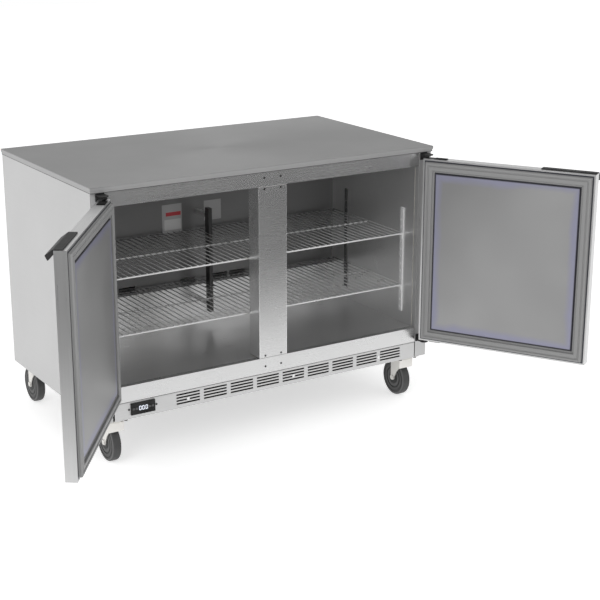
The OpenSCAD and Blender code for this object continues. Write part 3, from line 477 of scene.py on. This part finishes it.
softWidths = {"worktop": 0.0024, "side_panel_left": 0.0004, "side_panel_right": 0.0004,
              "front_header": 0.0005, "front_sill": 0.0005, "center_mullion": 0.0005,
              "door_left_skin": 0.0004, "door_right_skin": 0.0004, "handle_left": 0.0009,
              "handle_right": 0.0009, "hinge_insert_left": 0.0004, "hinge_insert_right": 0.0004,
              "hinge_brackets_left": 0.0006, "hinge_brackets_right": 0.0006, "controller_body": 0.0005,
              "fork_front_left": 0.0009, "fork_front_right": 0.0009, "fork_rear_left": 0.0009,
              "fork_rear_right": 0.0009, "caster_plates": 0.0008}
for node, width in softWidths.items():
    paintNode(softCopy(node, width), finish[slotOf[node]])
print("edges rounded:", len(softWidths))

# painted highlights along the mullion's folded edges and at its top joint; its foot meets the sill in a
# dark line
mullionSet = {"edge": (0.0022, 0.0014), "top": (-0.0026, -0.0018), "foot": (0.0016, 0.0008),
              "bright": 250, "dark": 90}
mullionLook = steelMaterial("mullionSteel", **frontLook)
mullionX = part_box("center_mullion")[1][0]
mullionTop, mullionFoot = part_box("front_header")[0][2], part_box("front_sill")[1][2]
for sign in (1, -1):
    recolour(mullionLook, "X", *(sign * (mullionX - inset) for inset in mullionSet["edge"]),
             grey(mullionSet["bright"]))
recolour(mullionLook, "Z", *(mullionTop + lift for lift in mullionSet["top"]), grey(mullionSet["bright"]))
recolour(mullionLook, "Z", *(mullionFoot + lift for lift in mullionSet["foot"]), grey(mullionSet["dark"]))
paintNode(bpy.data.objects["center_mullionSoft"], mullionLook)

# doors: gasket and inner sheet, worked out flat and turned with the open door

doorSet = {"pivot": (0.5715, -0.3675), "hinge": -0.007, "free": 0.563, "inner": -0.015,
           "low": 0.223, "high": 0.843}
openAngle = {"right": 121.0, "left": 125.7}
gasketSet = {"profile": [(9.5, -1), (9.5, 2.4), (11.6, 3.6), (10.6, 5.4), (10.4, 9.4), (12.2, 11.4),
                         (17.5, 11.6), (18.6, 8.2), (21.8, 8.0), (23, 11.4), (32.5, 11.6), (34.8, 10.6),
                         (35.4, 6.4), (34.2, 4.6), (37.0, 3.2), (39.2, 4.6), (41.6, 4.0), (42, -1)],
             "rounds": 2}
sheetSet = {"profile": [(5, -1.6), (5, 0.25), (6, 0.25), (42, 0.25), (44.4, 0.25), (45.0, 0.9), (45.2, 5.4),
                        (46.2, 6.4), (48, 6.5), (52, 6.5), (62, 6.5), (80, 6.5), (110, 6.5), (160, 6.5),
                        (220, 6.5), (275, 6.5)]}


def doorPlace(side, along, out, height):
    # along the door from its pivot, out from the pivot line and up, turned by the opening angle
    turn = math.radians(openAngle[side])
    x = doorSet["pivot"][0] - along * math.cos(turn) + out * math.sin(turn)
    y = doorSet["pivot"][1] - along * math.sin(turn) - out * math.cos(turn)
    return np.stack([x if side == "right" else -x, y, height], axis=-1)


def roundLoop(profile, rounds):
    # cut every corner at a quarter and three quarters, so a closed outline gets rounder
    line = np.array(profile, dtype=float)
    for _ in range(rounds):
        after = np.roll(line, -1, axis=0)
        line = np.stack([line * 0.75 + after * 0.25, line * 0.25 + after * 0.75], axis=1).reshape(-1, 2)
    return line


def frameSweep(side, name, profile, closed):
    # each profile point (inset, rise) becomes a mitred rectangle: the door's outline drawn in by the
    # inset and lifted off the inner face by the rise
    line = np.asarray(profile, dtype=float) / 1000.0
    inset, rise = line[:, 0:1], line[:, 1:2]
    along = np.hstack([doorSet["hinge"] + inset, doorSet["free"] - inset,
                       doorSet["free"] - inset, doorSet["hinge"] + inset])
    height = np.hstack([doorSet["low"] + inset, doorSet["low"] + inset,
                        doorSet["high"] - inset, doorSet["high"] - inset])
    out = doorSet["inner"] - rise + 0 * along
    points = doorPlace(side, along, out, height).reshape(-1, 3)
    count = len(line)
    faces = gridFaces(count, 4, closeRows=closed, closeCols=True)
    if not closed:
        faces = np.vstack([faces, [[4 * count - 4, 4 * count - 3, 4 * count - 2, 4 * count - 1]]])
    uv = np.stack([(inset + 0 * along).ravel(), height.ravel()], axis=-1)
    return makeObject(name, points, faces, uv=uv)


filmSet = {"warp": 7.0, "wander": 0.016, "cloudSize": 2.2, "clouds": (134, 156), "rim": (0.046, 0.066),
           "film": (146, (0.96, 0.96, 1.26)), "seam": (0.0462, 0.0492), "seamTone": (66, (1, 1, 1.2)),
           "gloss": (0.36, 0.46), "metal": 0.45, "grain": 260.0, "bump": 0.06, "bumpHeight": 0.0002}


def sheetMaterial():
    # satin inner sheet: dark seam at the step, violet film tint along the rim, cloudy grey inside;
    # the first UV coordinate is the inset from the sheet's outline
    mat, tree, shader = newMaterial("innerSheet")
    place = tree.nodes.new("ShaderNodeUVMap")
    place.uv_map = "spread"
    split = tree.nodes.new("ShaderNodeSeparateXYZ")
    tree.links.new(place.outputs["UV"], split.inputs[0])
    inset = split.outputs[0]
    warp = noiseNode(tree, filmSet["warp"], detail=3.0)
    wide = noiseNode(tree, filmSet["cloudSize"], detail=2.0)
    fine = noiseNode(tree, filmSet["grain"])
    wander = ramp(tree, warp.outputs["Fac"], 0.0, filmSet["wander"])
    cloudy = mixColour(tree, ramp(tree, wide.outputs["Fac"], 0.0, 1.0), *map(grey, filmSet["clouds"]))
    tint = ramp(tree, mathNode(tree, "SUBTRACT", inset, wander), 1.0, 0.0, *filmSet["rim"])
    film = mixColour(tree, tint, cloudy, grey(*filmSet["film"]))
    seam = ramp(tree, inset, 1.0, 0.0, *filmSet["seam"])
    tree.links.new(mixColour(tree, seam, film, grey(*filmSet["seamTone"])), shader.inputs["Base Color"])
    tree.links.new(ramp(tree, wide.outputs["Fac"], *filmSet["gloss"]), shader.inputs["Roughness"])
    shader.inputs["Metallic"].default_value = filmSet["metal"]
    addBump(tree, shader, fine, filmSet["bump"], filmSet["bumpHeight"])
    return mat


sheetLook = sheetMaterial()
for side in ("left", "right"):
    outline = roundLoop(gasketSet["profile"], gasketSet["rounds"])
    strip = frameSweep(side, side + "GasketStrip", outline, True)
    sheet = frameSweep(side, side + "InnerSheet", sheetSet["profile"], False)
    for piece, node, look in ((strip, "gasket", finish["gasket_grey"]), (sheet, "liner", sheetLook)):
        fixNormals(piece)
        smoothByAngle(piece, 50)
        paintNode(piece, look)
        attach(piece, "door_" + side)
        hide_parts("door_" + side + "_" + node)
print("door gaskets and inner sheets made")

# controller read-out: three zeros and a point in seven-segment bars

digitSet = {"height": 0.0135, "width": 0.0076, "gap": 0.0024, "bar": 0.0017, "lift": 0.0002,
            "thick": 0.0003, "waist": 0.0004, "shift": 0.0012, "point": (0.0001, 0.0012, 0.0011),
            "tones": ((0.80, 0.86, 1.0), (0.95, 0.97, 1.0)), "glow": 0.5}


def addDigits():
    # bars as left, right, low, high from each digit's middle; a zero leaves out the middle bar
    lo, hi = (np.array(c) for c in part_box("display_window"))
    mid = (lo + hi) / 2
    w, h, b, waist = digitSet["width"] / 2, digitSet["height"] / 2, digitSet["bar"], digitSet["waist"]
    bars = np.array([(-w + b, w - b, h - b, h), (-w + b, w - b, -h, -h + b), (-w, -w + b, waist, h - b / 2),
                     (-w, -w + b, -h + b / 2, -waist), (w - b, w, waist, h - b / 2),
                     (w - b, w, -h + b / 2, -waist)])
    step = digitSet["width"] + digitSet["gap"]
    shifts = np.array([-step, 0.0, step + digitSet["shift"]])
    rects = (bars[None, :, :] + shifts[:, None, None] * np.array([1, 1, 0, 0])).reshape(-1, 4)
    left, right, rise = digitSet["point"]
    rects = np.vstack([rects, [[step / 2 + left, step / 2 + right, -h, -h + rise]]])
    x = mid[0] + rects[:, [0, 1, 1, 0]]
    z = mid[2] + rects[:, [2, 2, 3, 3]]
    front = lo[1] - digitSet["lift"] + 0 * x
    near = np.stack([x, front, z], axis=-1)
    far = near + np.array([0, digitSet["thick"], 0])
    points = np.concatenate([near, far], axis=1).reshape(-1, 3)
    block = np.array([[0, 1, 2, 3], [7, 6, 5, 4], [0, 4, 5, 1], [1, 5, 6, 2], [2, 6, 7, 3], [3, 7, 4, 0]])
    faces = (np.arange(len(rects))[:, None, None] * 8 + block[None]).reshape(-1, 4)
    obj = makeObject("readOut", points, faces, smooth=False)
    fixNormals(obj)
    mat, tree, shader = newMaterial("readOutGlow")
    glow = noiseNode(tree, 900.0, detail=2.0)
    colour = mixColour(tree, ramp(tree, glow.outputs["Fac"], 0.0, 1.0), *digitSet["tones"])
    tree.links.new(colour, shader.inputs["Base Color"])
    tree.links.new(colour, shader.inputs["Emission Color"])
    shader.inputs["Emission Strength"].default_value = digitSet["glow"]
    paintNode(obj, mat)
    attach(obj, bodyOf["display_window"])


addDigits()
print("read-out made")


# studio: pale floor, soft lights, and a dark card that only reflections see

floorSet = {"half": 14.0, "tone": 0.92, "rough": 0.95, "glow": 0.55}
cardSet = {"half": 7.0, "near": -1.05, "full": -1.9, "far": -9.0, "lift": 0.002, "shade": 0.045,
           "rough": 0.9}
skySet = {"low": 1.0, "high": 0.62, "from": 0.12, "to": 0.36, "strength": 1.0}
lightSet = {"keyLight": {"place": (-3.2, -2.6, 2.6), "aim": (0, 0, 0.5), "size": (2.2, 2.2), "power": 40},
            "fillLight": {"place": (2.0, -3.5, 1.6), "aim": (0, 0, 0.4), "size": (2.5, 2.0), "power": 8}}


def flatCard(name, half, near, far, lift):
    # a rectangle lying flat, from -half to half across and from far to near in depth
    corners = [(-half, far, lift), (half, far, lift), (half, near, lift), (-half, near, lift)]
    return makeObject(name, corners, [(0, 1, 2, 3)], smooth=False)


def addFloor():
    floor = flatCard("floor", floorSet["half"], floorSet["half"], -floorSet["half"], 0.0)
    mat, tree, shader = newMaterial("floorPale")
    shader.inputs["Base Color"].default_value = (floorSet["tone"],) * 3 + (1,)
    shader.inputs["Roughness"].default_value = floorSet["rough"]
    shader.inputs["Emission Color"].default_value = (1, 1, 1, 1)
    shader.inputs["Emission Strength"].default_value = floorSet["glow"]
    paintNode(floor, mat)


def addDarkCard():
    # fades in from its near side to its full shade
    card = flatCard("darkCard", cardSet["half"], cardSet["near"], cardSet["far"], cardSet["lift"])
    mat, tree, shader = newMaterial("cardDark")
    fade = ramp(tree, splitCoords(tree)[1], 1.0, 0.0, cardSet["full"], cardSet["near"])
    tree.links.new(fade, shader.inputs["Alpha"])
    shader.inputs["Base Color"].default_value = (cardSet["shade"],) * 3 + (1,)
    shader.inputs["Roughness"].default_value = cardSet["rough"]
    shader.inputs["Specular IOR Level"].default_value = 0.0
    paintNode(card, mat)
    card.visible_camera = False
    card.visible_diffuse = False
    card.visible_shadow = False


def addSky():
    # white low down, greyer higher up
    world = bpy.data.worlds.new("world")
    bpy.context.scene.world = world
    world.use_nodes = True
    tree = world.node_tree
    height = splitCoords(tree, "Generated")[2]
    fade = ramp(tree, height, skySet["low"], skySet["high"], skySet["from"], skySet["to"])
    tree.links.new(fade, tree.nodes["Background"].inputs["Color"])
    tree.nodes["Background"].inputs["Strength"].default_value = skySet["strength"]
    bpy.context.scene.view_settings.view_transform = "Standard"


def addArea(name, place, aim, size, power):
    data = bpy.data.lights.new(name, "AREA")
    data.shape = "RECTANGLE"
    data.size, data.size_y = size
    data.energy = power
    obj = bpy.data.objects.new(name, data)
    obj.location = place
    obj.rotation_euler = (Vector(aim) - Vector(place)).to_track_quat("-Z", "Y").to_euler()
    bpy.context.scene.collection.objects.link(obj)


addDarkCard()
addFloor()
addSky()
for name, settings in lightSet.items():
    addArea(name, **settings)
addCamera()
print("studio set")
